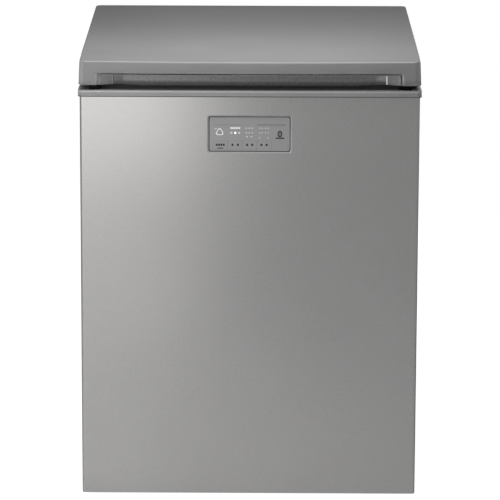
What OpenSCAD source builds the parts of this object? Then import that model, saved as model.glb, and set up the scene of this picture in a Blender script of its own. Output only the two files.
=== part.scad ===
// Chest kimchi refrigerator with a top-hinged lid. Millimetres, +Z up, the front faces -Y.
// The origin is on the floor, under the middle of the refrigerator.

/* [Case] */
// Width across the steel case
case_w = 657; // [620:1:720]
// Depth from the front panel's face to the back panel's face
case_d = 590; // [570:1:640]
// How far the middle of the case lies in front of the origin
case_offset = 7.2; // [0:0.1:20]
// Height of the case's lower edge above the floor
case_z = 12; // [8:1:20]
// Height of the case's upper edge above the floor
case_top = 806; // [780:1:860]
// Thickness of the steel sheets
sheet = 0.8; // [0.6:0.1:1.2]
// Radius of the front panel's upright corners
front_r = 6; // [4:1:10]
// Depth of the front panel's side returns
front_return = 24; // [16:1:40]
// Width of the side panels' rear flanges
rear_flange = 15; // [10:1:25]
// Height of the sheet over the machine compartment
roof_z = 205; // [196:1:225]
// Thickness of the base pan
pan_t = 1.2; // [1:0.1:2]
// Height of the base pan's upturned edges
pan_edge = 20; // [14:1:30]

/* [Tub] */
// Distance from the case's sides to the inside of the tub
wall_x = 63.5; // [50:0.5:72]
// Distance from the case's front and back to the inside of the tub
wall_y = 65; // [52:0.5:74]
// Thickness of the insulation under the tub
floor_foam = 62; // [50:1:75]
// Radius of the tub's upright corners
tub_r = 30; // [20:1:45]
// Thickness of the tub's wall
tub_t = 1.6; // [1.2:0.1:2.5]
// Width of the tub's flange around its mouth
tub_flange = 22; // [15:1:30]

/* [Top frame] */
// How far the top frame stands out from the case
frame_out = 3.5; // [2:0.5:6]
// Height of the frame's band
frame_h = 13; // [10:1:20]
// Height of the frame's deck above the case's upper edge
frame_rise = 11; // [9:1:16]
// Thickness of the frame's walls
frame_t = 3; // [2:0.5:4]
// Radius of the frame's corners
frame_r = 9; // [6:1:16]

/* [Lid] */
// How far the lid stands out past the case on each side
lid_over = 2.5; // [1:0.5:5]
// Gap between the top frame's deck and the lid's lower edge
lid_gap = 12; // [10:1:18]
// Height of the lid's front edge above its lower edge
lid_front_h = 44.4; // [38:0.2:60]
// Height of the lid's rear edge above its lower edge
lid_rear_h = 79; // [60:1:100]
// Height at the crease where the front slope begins
lid_crease_h = 53; // [46:0.5:70]
// Distance from the front edge back to the crease
lid_crease = 90; // [60:1:130]
// How far the middle of the lid's front bows out past its corners
lid_bow = 8; // [4:0.5:12]
// How far the lid reaches behind the back panel
lid_rear = 8; // [5:1:12]
// Draft of the lid's side faces, in degrees
lid_draft = 2.6; // [1:0.1:4]
// Radius of the lid's upright corners
lid_r = 12; // [6:1:20]
// Thickness of the lid's outer shell
lid_t = 2.5; // [2:0.1:3.5]
// Thickness of the lid's inner liner
liner_t = 2; // [1.5:0.1:3]
// How far the lid's inner liner hangs below the lid's lower edge
liner_drop = 4; // [2:0.5:6]
// Width of the gasket
gasket_w = 20; // [14:1:28]

/* [Handle recess] */
// Distance from the lid's corners to the ends of the recess
recess_end = 35; // [26:1:60]
// Height of the recess above the lid's lower edge
recess_h = 17.2; // [15:0.2:26]
// Depth of the recess behind the lid's front corners
recess_d = 20; // [16:1:26]
// Depth at the end of each outer ramp
recess_ramp_d = 15; // [10:1:16]
// Length of each outer ramp
recess_ramp = 31; // [20:1:45]
// Length of each inner ramp
recess_step = 20; // [12:1:30]
// Thickness of the insert that lines the recess
insert_t = 2; // [1.5:0.1:3]

/* [Hinges] */
// Distance from the middle of the lid to each hinge
hinge_x = 200; // [120:5:250]
// Height of the hinge pivots above the top frame's deck
pivot_up = 7; // [5:0.5:10]
// Distance of the pivots behind the lid's rear face
pivot_back = 7; // [6.9:0.1:10]
// Radius of the hinge pins
pin_r = 4; // [3:0.1:5]
// Wall around the pin in the hinge's moving leaf
knuckle_t = 2.5; // [2:0.1:3]
// Width of each leaf between the bracket's ears
leaf_w = 44; // [30:1:60]
// Thickness of the hinge plates
plate_t = 3; // [2:0.5:4]

/* [Control panel] */
// Width of the panel's opening in the front
panel_w = 164; // [150:1:190]
// Height of the panel's opening
panel_h = 75; // [66:1:85]
// Height of the panel's middle above the floor
panel_z = 731.3; // [700:0.1:745]
// Radius of the panel's corners
panel_r = 6; // [4:0.5:9]
// Width of the sloping rim around the panel
rim_w = 3; // [2:0.1:4]
// Depth of the panel's face behind the front
rim_d = 1.8; // [1:0.1:2.5]
// Distance between the middles of neighbouring keys
key_pitch = 28.6; // [24:0.1:32]
// Height of each key
key_h = 17; // [12:0.5:20]
// How far the keys travel when pressed
key_travel = 0.8; // [0.3:0.1:1]
// Distance of the first key's middle from the panel's middle
key_first = -57.3; // [-60:0.1:-50]
// Distance of the key row's middle below the panel's middle
key_down = 22; // [18:0.5:25]

/* [Containers] */
// Space around each container in its quarter of the tub
box_gap = 14.5; // [14.3:0.1:24]
// Height of each container's body
box_h = 180; // [120:1:220]
// Radius of the containers' corners
box_r = 20; // [12:1:30]
// Thickness of the containers' walls
box_t = 2; // [1.5:0.1:3]
// Radius of the bail handles' rod
bail_r = 2.5; // [2:0.1:3]

/* [Feet and rollers] */
// Radius of the levelling feet's pads
foot_r = 20; // [14:1:26]
// Height of the pads
foot_h = 9; // [6:0.5:11]
// Clearance under the pads while they are screwed right in
foot_up = 0.5; // [0.3:0.1:1]
// Radius of the fixed glides beside the feet
glide_r = 15; // [10:1:18]
// Distance from the feet's middles to the glides' middles
glide_in = 50; // [42:1:60]
// Radius of the levelling feet's studs
stud_r = 5; // [4:0.1:6]
// Distance from the front to the feet's middles
foot_y = 75; // [68:1:110]
// Distance from the case's sides to the feet and rollers
foot_in = 58.5; // [44:0.5:90]
// Radius of the rear rollers
roller_r = 20; // [17:1:24]
// Width of the rear rollers
roller_w = 18; // [12:1:24]
// Distance from the back to the rollers' middles
roller_y = 45; // [40:1:80]
// Radius of the roller axles
axle_r = 4; // [3:0.1:5]

/* [Machinery] */
// Radius of the compressor's shell
comp_r = 64; // [55:1:70]
// Height of the compressor's shell
comp_h = 140; // [120:1:150]
// Distance of the compressor right of the middle
comp_x = 150; // [120:1:180]
// Distance of the compressor's middle in front of the back
comp_y = 132; // [110:1:160]
// Width of the main board's tray
tray_w = 132; // [110:1:150]
// Depth of the tray
tray_d = 92; // [84:1:110]
// Height of the tray
tray_h = 50; // [42:1:60]
// Radius of the condenser fan
fan_r = 50; // [40:1:52]
// Diameter of the refrigerant tubes
pipe_d = 8; // [5:0.5:9]
// Number of turns of the evaporator around the tub
coil_turns = 8; // [4:1:10]
// Distance between the evaporator's turns
coil_pitch = 38; // [20:1:40]
// Radius of the power cord's hole in its grommet
cord_r = 4.5; // [3:0.1:6]

/* [Fits] */
// Running clearance between a pin and its hole
run_gap = 0.05; // [0.02:0.01:0.1]
// Gap between parts that move past each other
part_gap = 0.3; // [0.2:0.05:0.5]
// Smoothness of large curves
$fn = 96; // [48:24:192]

/* [Hidden] */

tiny = 0.01;
front_y = -case_offset - case_d / 2;
back_y = -case_offset + case_d / 2;
tub_y = -case_offset;
inner_x = case_w / 2 - 2 * sheet;
lid_w = case_w + 2 * lid_over;
recess_w = lid_w - 2 * recess_end;
foot_x = case_w / 2 - foot_in;
tub_w = case_w - 2 * wall_x;
tub_d = case_d - 2 * wall_y;
deck_z = case_top + frame_rise;
band_z = deck_z - frame_h;
flange_z = deck_z - frame_t;
tub_z = roof_z + sheet + floor_foam;
tub_h = flange_z - tub_z;
frame_x = case_w / 2 + frame_out;
frame_y0 = front_y - frame_out;
frame_y1 = back_y + frame_out;
lid_z = deck_z + lid_gap;
lid_x = lid_w / 2;
lid_y0 = front_y;
lid_y1 = back_y + lid_rear;
liner_z = lid_z - liner_drop;
recess_y = lid_y0 + recess_d;
liner_y0 = recess_y + liner_t + lid_t;
liner_in = lid_t + 0.5;
gasket_in = 5;
pivot_y = lid_y1 + pivot_back;
pivot_z = deck_z + pivot_up;
knuckle_r = pin_r + knuckle_t;
ear_x = leaf_w / 2 + part_gap;
face_y = front_y + rim_d;
overlay_t = 1.5;
key_t = 3;
housing_d = 28;
key_row_z = panel_z - key_down;
cell_w = tub_w / 2;
cell_d = tub_d / 2;
box_w = cell_w - 2 * box_gap;
box_d = cell_d - 2 * box_gap;
box_z = tub_z + part_gap;
box_top = box_z + box_h;
bail_z = box_top - 14;
bail_x = box_w / 2 + 5;
bail_reach = box_d / 2 + 10.5;
eye_r = 7;
foot_cy = front_y + foot_y;
roller_cy = back_y - roller_y;
pan_top = case_z + pan_t;
comp_cy = back_y - comp_y;
comp_z = pan_top + 15;
tray_x = comp_x - 20;
tray_y = comp_cy - comp_r - 158;
fan_x = comp_x - 208;
fan_y = comp_cy;
fan_z = 96;
shaft_r = 3;
coil_gap = 0.4;
coil_w = tub_w + 2 * (tub_t + coil_gap) + pipe_d;
coil_d = tub_d + 2 * (tub_t + coil_gap) + pipe_d;
coil_r = tub_r + tub_t + coil_gap + pipe_d / 2;
coil_z = tub_z + 40;
coil_top = coil_z + coil_pitch * coil_turns;
drop_x = coil_w / 2 + pipe_d + 4;
grommet_x = inner_x - 42;
grommet_z = 46;
cover_y0 = back_y - sheet;
cover_y1 = cover_y0 + 1;
screw_x = inner_x - 7;
screw_zs = [case_z + 12, roof_z / 2, roof_z - 14];

// A rectangle with round corners, about the origin
module rrect(w, d, r) {
    square([w - 2 * r, d], center = true);
    square([w, d - 2 * r], center = true);
    for (x = [-1, 1], y = [-1, 1])
        translate([x * (w / 2 - r), y * (d / 2 - r)]) circle(r);
}

// A box given by its lowest and highest corners
module block(a, b) {
    translate(a) cube(b - a);
}

// A rounded plate of the control panel between two depths
module front_plate(w, h, r, y0, y1) {
    translate([0, y1, panel_z]) rotate([90, 0, 0]) linear_extrude(y1 - y0) rrect(w, h, r);
}

// A cylinder along X, Y from its start
module rod_x(r, len) {
    rotate([0, 90, 0]) cylinder(r = r, h = len);
}
module rod_y(r, len) {
    rotate([-90, 0, 0]) cylinder(r = r, h = len);
}

// Tube swept along a path, with its rings turned as little as possible
function unit(v) = v / norm(v);
function tangent(p, i) = unit(p[min(i + 1, len(p) - 1)] - p[max(i - 1, 0)]);
function carried(p, i, n) = let (t = tangent(p, i)) unit(n - (n * t) * t);
function ring_normals(p, i, n) =
    i == len(p) ? [] : let (m = carried(p, i, n)) concat([m], ring_normals(p, i + 1, m));

module tube(path, r, sides = 6, up = [0, 0, 1]) {
    count = len(path);
    m = ring_normals(path, 0, up);
    points = [for (i = [0:count - 1]) let (b = cross(tangent(path, i), m[i]))
        for (k = [0:sides - 1])
            path[i] + r * (cos(360 * k / sides) * m[i] + sin(360 * k / sides) * b)];
    sides_faces = [for (i = [0:count - 2], k = [0:sides - 1]) let (
            a = i * sides + k,
            b = i * sides + (k + 1) % sides)
        for (f = [[a, a + sides, b + sides], [a, b + sides, b]]) f];
    caps = concat(
        [for (k = [1:sides - 2]) [0, k, k + 1]],
        [for (k = [1:sides - 2]) let (e = (count - 1) * sides) [e, e + k + 1, e + k]]);
    polyhedron(points, concat(sides_faces, caps));
}

// One turn of a rounded rectangle as [x, y, share of the turn]
function turn_points(w, d, r, steps) = let (
        bend = 90 * r * PI / 180,
        runs = [0, w - 2 * r, w + d - 4 * r, 2 * w + d - 6 * r],
        all = 2 * (w + d) - 8 * r + 4 * bend)
    [for (c = [0:3], k = [0:steps]) let (
            a = 90 * (c + k / steps),
            sx = c == 0 || c == 3 ? 1 : -1,
            sy = c < 2 ? 1 : -1)
        [sx * (w / 2 - r) + r * cos(a), sy * (d / 2 - r) + r * sin(a),
            (bend * (c + k / steps) + runs[c]) / all]];

// Points of a tight bend from a to b, bulging along out
function bend_points(a, b, out, steps) = let (mid = (a + b) / 2, half = (a - b) / 2)
    [for (k = [0:steps]) let (t = 180 * k / steps)
        mid + half * cos(t) + out * norm(half) * sin(t)];

// Plan outline of the lid, drawn in from its edge by inset
function lid_outline(inset) = let (
        x = lid_x - inset,
        r = max(lid_r - inset, 1),
        y0 = lid_y0 + inset,
        y1 = lid_y1 - inset,
        steps = 6)
    concat(
        [for (k = [0:24]) let (u = -1 + k / 12)
            [u * (x - r), y0 - lid_bow * (1 - u * u)]],
        [for (k = [1:steps]) let (a = -90 + 90 * k / steps)
            [x - r + r * cos(a), y0 + r + r * sin(a)]],
        [for (k = [0:steps]) let (a = 90 * k / steps)
            [x - r + r * cos(a), y1 - r + r * sin(a)]],
        [for (k = [0:steps]) let (a = 90 + 90 * k / steps)
            [-x + r + r * cos(a), y1 - r + r * sin(a)]],
        [for (k = [0:steps - 1]) let (a = 180 + 90 * k / steps)
            [-x + r + r * cos(a), y0 + r + r * sin(a)]]);

// The lid's whole form, drawn in by inset and starting at height z0
module lid_form(inset, z0) {
    top = lid_z + lid_rear_h;
    lean = tan(lid_draft) * lid_rear_h;
    intersection() {
        translate([0, 0, z0]) linear_extrude(top - z0 + 1) polygon(lid_outline(inset));
        rotate([90, 0, 90]) linear_extrude(2 * lid_w, center = true) polygon([
            [lid_y0 - lid_bow - 1, lid_z - 20],
            [lid_y0 - lid_bow - 1, lid_z + lid_front_h - inset],
            [lid_y0, lid_z + lid_front_h - inset],
            [lid_y0 + lid_crease, lid_z + lid_crease_h - inset],
            [lid_y1, top - inset],
            [lid_y1, lid_z - 20]]);
        rotate([90, 0, 0]) linear_extrude(2 * case_d, center = true) polygon([
            [-lid_x + inset, lid_z - 20],
            [-lid_x + inset, lid_z],
            [-lid_x + lean + inset, top + tiny],
            [lid_x - lean - inset, top + tiny],
            [lid_x - inset, lid_z],
            [lid_x - inset, lid_z - 20]]);
    }
}

// Plan of the handle recess, with its walls moved into it by inset
module recess_plan(inset) {
    x0 = recess_w / 2 - inset;
    y1 = recess_y - inset;
    polygon([
        [-x0 - recess_ramp, lid_y0 - lid_bow - 20],
        [-x0, lid_y0],
        [-x0 + recess_ramp, lid_y0 + recess_ramp_d - inset],
        [-x0 + recess_ramp + recess_step, y1],
        [x0 - recess_ramp - recess_step, y1],
        [x0 - recess_ramp, lid_y0 + recess_ramp_d - inset],
        [x0, lid_y0],
        [x0 + recess_ramp, lid_y0 - lid_bow - 20]]);
}

// Front sheet, folded round both upright corners
module front_panel() {
    color("silver") difference() {
        translate([0, -case_offset, case_z]) linear_extrude(case_top - case_z) difference() {
            rrect(case_w, case_d, front_r);
            rrect(case_w - 2 * sheet, case_d - 2 * sheet, front_r - sheet);
            translate([-case_w, -case_d / 2 + front_return]) square([2 * case_w, case_d]);
        }
        front_plate(panel_w, panel_h, panel_r, front_y - 1, front_y + sheet + 1);
    }
}

// The two side sheets, each with a flange folded in at the rear
module side_panels() {
    color("gray") for (s = [-1, 1]) difference() {
        x = s * (inner_x + sheet / 2);
        translate([x, 0, case_z]) linear_extrude(case_top - case_z) union() {
            translate([-sheet / 2, front_y + 12])
                square([sheet, case_d - 12 - sheet]);
            translate([s > 0 ? sheet / 2 - rear_flange : -sheet / 2, back_y - 2 * sheet])
                square([rear_flange, sheet]);
        }
        for (z = screw_zs) translate([s * screw_x, back_y - 4, z]) rod_y(1.7, 6);
    }
}

// Rear sheet above the machine compartment
module back_panel() {
    color("lightgray")
        block([-inner_x, back_y - sheet, roof_z], [inner_x, back_y, case_top]);
}

// Pan under the machine compartment, with slots for the rollers and holes for the feet
module base_pan() {
    w = 2 * inner_x;
    d = case_d - 3 * sheet;
    color("dimgray") difference() {
        union() {
            translate([0, -case_offset - sheet / 2, case_z]) linear_extrude(pan_edge) difference() {
                rrect(w, d, front_r);
                rrect(w - 2 * pan_t, d - 2 * pan_t, front_r - pan_t);
            }
            translate([0, -case_offset - sheet / 2, case_z]) linear_extrude(pan_t)
                rrect(w, d, front_r);
            for (s = [-1, 1]) {
                translate([s * foot_x, foot_cy, case_z]) cylinder(r = stud_r + 5, h = 14);
                translate([s * (foot_x - glide_in), foot_cy, 0])
                    cylinder(r1 = glide_r, r2 = glide_r + 4, h = case_z + pan_t);
            }
            for (x = [-1, 1], y = [-1, 1])
                translate([comp_x + x * 80, comp_cy + y * 50, case_z]) cylinder(r = 3.9, h = 24);
        }
        for (s = [-1, 1]) {
            translate([s * foot_x, foot_cy, case_z - 1])
                cylinder(r = stud_r + run_gap, h = 16);
            translate([s * (foot_x - glide_in), foot_cy, pan_t])
                cylinder(r1 = glide_r - pan_t, r2 = glide_r + 4 - pan_t, h = case_z + 1);
            block([s * foot_x - roller_w / 2 - 2, roller_cy - roller_r - 3, case_z - 1],
                [s * foot_x + roller_w / 2 + 2, roller_cy + roller_r + 3, pan_top + 1]);
        }
    }
}

// Sheet between the insulation and the machine compartment
module machine_roof() {
    color("lightgray") difference() {
        translate([0, -case_offset - sheet / 2, roof_z]) linear_extrude(sheet)
            rrect(2 * inner_x, case_d - 3 * sheet, front_r);
        translate([drop_x, 0, roof_z - 1]) cylinder(r = pipe_d / 2 + 1, h = 4);
        translate([coil_w / 2, -60, roof_z - 1]) cylinder(r = pipe_d / 2 + 1, h = 4);
    }
}

// Plastic frame that covers the case's upper edge and rings the tub's mouth
module top_frame() {
    color("gainsboro") difference() {
        translate([0, tub_y, band_z]) linear_extrude(frame_h)
            rrect(2 * frame_x, frame_y1 - frame_y0, frame_r);
        translate([0, tub_y, band_z - 1]) linear_extrude(frame_h - frame_t + 1)
            rrect(case_w + 2 * part_gap, case_d + 2 * part_gap, 1.5);
        translate([0, tub_y, band_z - 1]) linear_extrude(frame_h + 2) rrect(tub_w, tub_d, tub_r);
    }
}

// Tub that holds the food, open at the top, with a flange under the frame
module inner_tub() {
    color("white") difference() {
        union() {
            translate([0, tub_y, tub_z - tub_t]) linear_extrude(tub_h + tub_t)
                rrect(tub_w + 2 * tub_t, tub_d + 2 * tub_t, tub_r + tub_t);
            translate([0, tub_y, flange_z - tub_t]) linear_extrude(tub_t)
                rrect(tub_w + 2 * tub_flange, tub_d + 2 * tub_flange, tub_r + tub_flange);
        }
        translate([0, tub_y, tub_z]) linear_extrude(tub_h + 1) rrect(tub_w, tub_d, tub_r);
    }
}

// Foam between the case and the tub, with room for the coil, its tubes and the control panel
module insulation_foam() {
    z0 = roof_z + sheet;
    color("khaki") difference() {
        translate([0, -case_offset - sheet / 2, z0]) linear_extrude(flange_z - tub_t - z0)
            rrect(2 * inner_x, case_d - 3 * sheet, front_r);
        translate([0, tub_y, tub_z - tub_t]) linear_extrude(tub_h + 10)
            rrect(tub_w + 2 * tub_t, tub_d + 2 * tub_t, tub_r + tub_t);
        block([-151, tub_y - 121, tub_z - tub_t - 1.5], [151, tub_y + 121, tub_z]);
        translate([0, tub_y, coil_z - pipe_d]) linear_extrude(coil_top - coil_z + 2 * pipe_d)
            rrect(coil_w + pipe_d + 1, coil_d + pipe_d + 1, coil_r + pipe_d / 2);
        block([coil_w / 2 - pipe_d, -90, z0 - 1], [drop_x + pipe_d, 12, coil_top + pipe_d]);
        front_plate(panel_w + 10, panel_h + 10, panel_r, front_y - 1,
            front_y + sheet + housing_d + 1);
        translate([-tub_w / 2 - 12, tub_y - 8, tub_z + 68]) cube([12, 16, 16]);
    }
}

// Refrigerant tube wound round the tub, ending in two tubes down to the machinery
module evaporator_coil() {
    turn = turn_points(coil_w, coil_d, coil_r, 6);
    wound = [for (t = [0:coil_turns - 1], p = turn)
        [p[0], tub_y + p[1], coil_z + coil_pitch * (t + p[2])]];
    path = concat(
        [[coil_w / 2, -60, roof_z - 12], [coil_w / 2, -60, coil_z - 18],
            [coil_w / 2, -52, coil_z - 6], [coil_w / 2, -40, coil_z]],
        wound,
        [[coil_w / 2, -70, coil_top], [coil_w / 2 + 2, -40, coil_top],
            [drop_x - 2, -12, coil_top], [drop_x, -3, coil_top - 3],
            [drop_x, 0, coil_top - 12], [drop_x, 0, roof_z - 12]]);
    color("peru") tube(path, pipe_d / 2, up = [1, 0, 0]);
    echo(least_gap_between_turns = coil_pitch - pipe_d);
}

// Warming pad under the tub's floor
module tub_heater() {
    x = 0.28 * tub_w;
    y = 0.26 * tub_d;
    color("silver")
        block([-x, tub_y - y, tub_z - tub_t - 1.5], [x, tub_y + y, tub_z - tub_t]);
}

// Sensor clipped to the outside of the tub's left wall
module temperature_sensor() {
    color("black") block([-tub_w / 2 - tub_t - 8, tub_y - 6, tub_z + 70],
        [-tub_w / 2 - tub_t, tub_y + 6, tub_z + 82]);
}

// Recessed rim around the control panel, with its inner faces sloping back
module panel_bezel() {
    color("silver") difference() {
        union() {
            front_plate(panel_w - 0.2, panel_h - 0.2, panel_r - 0.1, front_y, front_y + 6);
            front_plate(panel_w + 6, panel_h + 6, panel_r + 3, front_y + sheet, front_y + 3);
        }
        front_plate(panel_w - 2 * rim_w, panel_h - 2 * rim_w, panel_r - rim_w,
            front_y - 1, front_y + 7);
        translate([0, face_y, panel_z]) rotate([90, 0, 0])
            linear_extrude(rim_d + tiny, slices = 1, scale = [
                    (panel_w - 0.6) / (panel_w - 2 * rim_w),
                    (panel_h - 0.6) / (panel_h - 2 * rim_w)])
                rrect(panel_w - 2 * rim_w, panel_h - 2 * rim_w, panel_r - rim_w, $fn = 24);
    }
}

// Place for one key's middle
function key_x(i) = key_first + key_pitch * i;
function key_w() = key_pitch - 0.9;

// Face plate of the control panel, cut for its keys
module panel_overlay() {
    color("lightsteelblue") difference() {
        front_plate(panel_w - 2 * rim_w - 0.2, panel_h - 2 * rim_w - 0.2, panel_r - rim_w,
            face_y, face_y + overlay_t);
        for (i = [0:3])
            block([key_x(i) - key_w() / 2 - part_gap, face_y - 1, key_row_z - key_h / 2 - part_gap],
                [key_x(i) + key_w() / 2 + part_gap, face_y + 3, key_row_z + key_h / 2 + part_gap]);
    }
}

// Closed box behind the control panel
module panel_housing() {
    w = panel_w + 6;
    h = panel_h + 6;
    color("white") difference() {
        front_plate(w, h, panel_r, front_y + 3, front_y + sheet + housing_d);
        front_plate(w - 4, h - 4, panel_r - 2, front_y + 2, front_y + sheet + housing_d - 2);
    }
}

// One pressed key with the post that reaches its switch
module key(i) {
    color("lightsteelblue") {
        block([key_x(i) - key_w() / 2, face_y, key_row_z - key_h / 2],
            [key_x(i) + key_w() / 2, face_y + key_t, key_row_z + key_h / 2]);
        translate([key_x(i), face_y + key_t - tiny, key_row_z]) rod_y(2, 3.6);
    }
}

// Panel board with its four switches and lamps, and the main board by the compressor
module circuit_boards() {
    board_y = face_y + key_t + 3.6 + key_travel + part_gap + 4;
    color("green") {
        front_plate(panel_w + 1.4, panel_h + 1.4, panel_r - 2, board_y, board_y + 1.6);
        for (i = [0:3])
            translate([key_x(i), board_y - 4, key_row_z]) rod_y(3.5, 4);
        for (i = [-2:2])
            translate([14 * i, board_y - 3, panel_z + 10]) rod_y(1.5, 3);
        translate([tray_x, tray_y, pan_top + 12]) {
            block([-tray_w / 2 + 6, -tray_d / 2 + 6, 0], [tray_w / 2 - 6, tray_d / 2 - 6, 1.6]);
            block([-50, -30, 1.6], [-20, 0, 26]);
            for (i = [0:2])
                translate([20 * i, 20, 1.6]) cylinder(r = 7, h = 20);
        }
    }
}

// Plastic tray that holds the main board
module control_box() {
    x = tray_w / 2;
    y = tray_d / 2;
    color("ivory") translate([tray_x, tray_y, pan_top]) {
        difference() {
            block([-x, -y, 0], [x, y, tray_h]);
            block([2 - x, 2 - y, 2], [x - 2, y - 2, tray_h + 1]);
        }
        for (i = [-1, 1], j = [-1, 1])
            translate([i * (x - 10), j * (y - 10), 1]) cylinder(r = 3, h = 11);
    }
}

// Form of the hermetic compressor shell with its welded seam
module compressor_form() {
    dome = 26;
    translate([comp_x, comp_cy, comp_z]) rotate_extrude() polygon(concat(
        [[0, 0]],
        [for (k = [0:8]) let (a = 90 - 90 * k / 8)
            [comp_r * cos(a), dome * (1 - sin(a))]],
        [[comp_r, comp_h * 0.5], [comp_r + 4, comp_h * 0.5], [comp_r + 4, comp_h * 0.5 + 4],
            [comp_r, comp_h * 0.5 + 4]],
        [for (k = [0:8]) let (a = 90 * k / 8)
            [comp_r * cos(a), comp_h - dome * (1 - sin(a))]],
        [[0, comp_h]]));
}

module compressor() {
    color("black") compressor_form();
}

// Plate under the compressor, resting on the grommets
module compressor_base() {
    z0 = pan_top + 12;
    color("dimgray") difference() {
        translate([comp_x, comp_cy, z0]) union() {
            linear_extrude(3) rrect(190, 124, 10);
            difference() {
                cylinder(r = comp_r * 0.72, h = 11);
                translate([0, 0, 3]) cylinder(r = comp_r * 0.64, h = 20);
            }
        }
        for (x = [-1, 1], y = [-1, 1])
            translate([comp_x + x * 80, comp_cy + y * 50, z0 - 1]) cylinder(r = 4.2, h = 6);
        compressor_form();
    }
}

// Cover over the compressor's electrical terminals
module compressor_cover() {
    color("darkslategray") difference() {
        block([comp_x - comp_r - 26, comp_cy - 25, 70], [comp_x - comp_r + 12, comp_cy + 25, 98]);
        translate([comp_x, comp_cy, 60]) cylinder(r = comp_r + 0.1, h = 60);
    }
}

// Rubber grommets that carry the compressor
module compressor_grommets() {
    color("black") for (x = [-1, 1], y = [-1, 1])
        translate([comp_x + x * 80, comp_cy + y * 50, pan_top]) difference() {
            cylinder(r = 10, h = 12);
            translate([0, 0, -1]) cylinder(r = 4, h = 20);
        }
}

// Fan housing: a stand, a round duct and four spokes to the motor's seat
module fan_shroud() {
    half = fan_r + 12;
    color("dimgray") translate([fan_x, fan_y, fan_z]) {
        difference() {
            union() {
                block([0, -half, -half], [2.5, half, half]);
                rod_x(fan_r + 5, 22);
                block([0, -half, pan_top - fan_z], [20, half, pan_top - fan_z + 3]);
                block([0, -half, pan_top - fan_z], [2.5, half, 0]);
            }
            translate([-1, 0, 0]) rod_x(fan_r + 3, 40);
        }
        difference() {
            union() {
                rod_x(28, 2.5);
                for (a = [45, 135]) rotate([a, 0, 0])
                    block([0, -fan_r - 4, -3], [2.5, fan_r + 4, 3]);
            }
            translate([-1, 0, 0]) rod_x(shaft_r + 1, 6);
        }
    }
}

// Fan motor and its shaft
module fan_motor() {
    color("black") translate([fan_x, fan_y, fan_z]) {
        translate([-34, 0, 0]) rod_x(26, 34);
        translate([-1, 0, 0]) rod_x(shaft_r, 21);
    }
}

// Five-bladed fan wheel
module fan_blade() {
    color("whitesmoke") translate([fan_x + 5, fan_y, fan_z]) difference() {
        union() {
            rod_x(16, 14);
            for (k = [0:4]) rotate([72 * k, 0, 0]) translate([7, 0, 0]) rotate([0, 0, 30])
                block([-1, -15, 12], [1, 15, fan_r - 3]);
        }
        translate([-1, 0, 0]) rod_x(shaft_r + run_gap, 30);
    }
}

// Condenser: one serpentine tube through a stack of fins
module condenser() {
    rows = 5;
    pitch = 25;
    x0 = fan_x - 179;
    z0 = 44;
    ya = fan_y - 80;
    yb = fan_y + 80;
    pass = concat(
        [for (k = [0:rows - 1]) [x0, z0 + pitch * k]],
        [for (k = [rows - 1:-1:0]) [x0 + pitch, z0 + pitch * k]]);
    bends = [for (k = [0:2 * rows - 2]) let (
            out = k % 2 == 0 ? 1 : -1,
            y = out > 0 ? yb : ya)
        for (p = bend_points([pass[k][0], y, pass[k][1]],
                [pass[k + 1][0], y, pass[k + 1][1]], [0, out, 0], 4)) p];
    color("peru")
        tube(concat([[x0, ya, z0]], bends, [[x0 + pitch, ya, z0]]), 3.9, up = [1, 0, 0]);
    color("silver") for (k = [0:9]) difference() {
        translate([0, fan_y - 72 + 16 * k, 0])
            block([x0 - 12, -0.4, pan_top], [x0 + pitch + 12, 0.4, z0 + pitch * (rows - 1) + 14]);
        for (p = pass)
            translate([p[0], fan_y - 90, p[1]]) rod_y(4, 180);
    }
}

// Tubes between the compressor, condenser and evaporator, with the drier
module refrigerant_pipes() {
    z_top = comp_z + comp_h;
    r = 3;
    color("peru") {
        tube([[comp_x - 30, comp_cy - 20, z_top - 3.4], [comp_x - 30, comp_cy - 20, z_top + 8],
            [comp_x - 36, comp_cy - 26, z_top + 14], [comp_x - 60, comp_cy - 50, z_top + 14],
            [comp_x - 90, comp_cy - 90, z_top + 14], [-180, fan_y - 100, z_top + 14],
            [-205, fan_y - 100, 150], [-212, fan_y - 100, 60], [-212, fan_y - 96, 46],
            [-212, fan_y - 80.5, 44]], r, up = [1, 0, 0]);
        tube([[-237, fan_y - 80.5, 44], [-237, fan_y - 100, 44], [-237, fan_y - 130, 40],
            [-220, fan_y - 150, 36], [-150, fan_y - 150.5, 36]], r);
        translate([-150, fan_y - 150.5, 36]) rod_x(9, 80);
        tube([[-70, fan_y - 150.5, 36], [-20, fan_y - 170, 60], [100, -100, 150],
            [220, -62, 180], [coil_w / 2 - 8, -60, 184], [coil_w / 2 - 1, -60, 188],
            [coil_w / 2, -60, roof_z - 12.5]], 2);
        tube([[drop_x, 0, roof_z - 12.5], [drop_x, 0, roof_z - 24], [drop_x - 4, 4, roof_z - 32],
            [drop_x - 30, 30, roof_z - 34], [comp_x + 50, comp_cy - 50, roof_z - 34],
            [comp_x + 34, comp_cy - 34, roof_z - 34],
            [comp_x + 30, comp_cy - 30, z_top - 4.8]], r, up = [1, 0, 0]);
    }
}

// Louvred cover over the machine compartment
module rear_cover() {
    color("dimgray") difference() {
        block([-inner_x, cover_y0, case_z + 2], [inner_x, cover_y1, roof_z - 1]);
        for (b = [-1.5:1.5], k = [0:8])
            translate([b * 140 - 42, cover_y0 - 1, 66 + 13 * k]) cube([84, 3, 5]);
        translate([grommet_x, cover_y0 - 1, grommet_z]) rod_y(8, 4);
        for (x = [-screw_x, screw_x], z = screw_zs) translate([x, cover_y0 - 1, z]) rod_y(1.7, 4);
    }
}

// Screws of the rear cover
module cabinet_screws() {
    color("silver") for (x = [-screw_x, screw_x], z = screw_zs)
        translate([x, cover_y1, z]) difference() {
            union() {
                rod_y(4, 2.4);
                translate([0, -1 - sheet, 0]) rod_y(1.6, 3);
            }
            block([-3, 1.4, -0.5], [3, 3, 0.5]);
        }
}

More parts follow.
